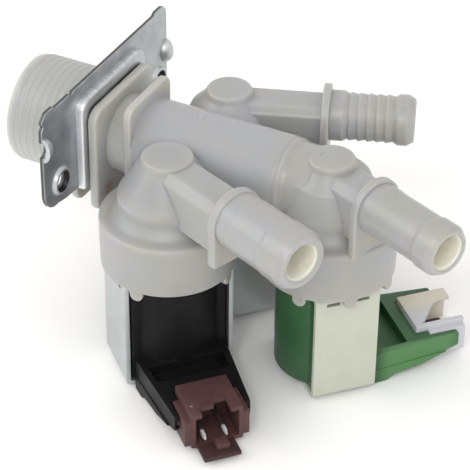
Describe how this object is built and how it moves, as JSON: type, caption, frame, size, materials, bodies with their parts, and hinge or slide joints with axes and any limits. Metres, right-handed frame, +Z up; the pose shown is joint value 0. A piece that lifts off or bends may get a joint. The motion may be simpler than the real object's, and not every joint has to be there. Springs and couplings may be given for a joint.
{
  "type": "washing machine inlet valve",
  "caption": "Solenoid water inlet valve with a threaded inlet, a manifold body, capped valve towers with hose spouts, hanging coils in steel yokes, plug sockets and a steel mounting bracket.",
  "frame": {"origin": "centre of the bounding box's underside", "axes": "+X from the threaded inlet towards the end valve, +Z up, the valve towers on top and the coils below"},
  "size_m": [0.1159, 0.093, 0.0693],
  "materials": {
    "nylon": "translucent natural nylon",
    "zinc": "zinc-plated sheet",
    "steel": "turned steel",
    "strainer_plastic": "moulded cage",
    "rubber": "moulded rubber",
    "seal_rubber": "soft tip",
    "guide_plastic": "moulded nylon",
    "spring_wire": "spring wire",
    "tin": "tinned pin",
    "yoke_zinc": "pale zinc-plated strip",
    "yoke_cream": "pale coated strip",
    "coil_black": "black moulded coil",
    "coil_green": "green moulded coil",
    "socket_brown": "brown moulded socket",
    "socket_white": "white moulded socket"
  },
  "bodies": {
    "valve": {"inlet_barrel": "nylon", "manifold": "nylon", "mounting_bracket": "zinc", "inlet_strainer": "strainer_plastic", "regulator_holder": "strainer_plastic", "regulator_ring": "rubber", "front_tower": "nylon", "front_spout": "nylon", "front_diaphragm": "rubber", "front_diaphragm_insert": "guide_plastic", "front_guide_tube": "guide_plastic", "front_plunger_spring": "spring_wire", "front_upper_pole_sleeve": "steel", "front_lower_pole_sleeve": "steel", "front_yoke": "yoke_zinc", "front_coil": "coil_black", "front_socket": "socket_brown", "front_pin_a": "tin", "front_pin_b": "tin", "back_tower": "nylon", "back_spout": "nylon", "back_diaphragm": "rubber", "back_diaphragm_insert": "guide_plastic", "back_guide_tube": "guide_plastic", "back_plunger_spring": "spring_wire", "back_upper_pole_sleeve": "steel", "back_lower_pole_sleeve": "steel", "back_yoke": "yoke_zinc", "back_coil": "coil_black", "back_socket": "socket_white", "back_pin_a": "tin", "back_pin_b": "tin", "end_tower": "nylon", "end_spout": "nylon", "end_diaphragm": "rubber", "end_diaphragm_insert": "guide_plastic", "end_guide_tube": "guide_plastic", "end_plunger_spring": "spring_wire", "end_upper_pole_sleeve": "steel", "end_lower_pole_sleeve": "steel", "end_yoke": "yoke_cream", "end_coil": "coil_green", "end_socket": "socket_white", "end_pin_a": "tin", "end_pin_b": "tin"},
    "front_armature": {"front_plunger": "steel", "front_plunger_seal": "seal_rubber"},
    "back_armature": {"back_plunger": "steel", "back_plunger_seal": "seal_rubber"},
    "end_armature": {"end_plunger": "steel", "end_plunger_seal": "seal_rubber"}
  },
  "joints": [
    {"name": "front_armature_slide", "type": "slide", "parent": "valve", "child": "front_armature", "axis": [0, 0, -1], "range_m": [0, 0.0022], "stiffness_N_per_m": 150, "springref_m": -0.003, "deforming": ["front_plunger_spring"]},
    {"name": "back_armature_slide", "type": "slide", "parent": "valve", "child": "back_armature", "axis": [0, 0, -1], "range_m": [0, 0.0022], "stiffness_N_per_m": 150, "springref_m": -0.003, "deforming": ["back_plunger_spring"]},
    {"name": "end_armature_slide", "type": "slide", "parent": "valve", "child": "end_armature", "axis": [0, 0, -1], "range_m": [0, 0.0022], "stiffness_N_per_m": 150, "springref_m": -0.003, "deforming": ["end_plunger_spring"]}
  ]
}
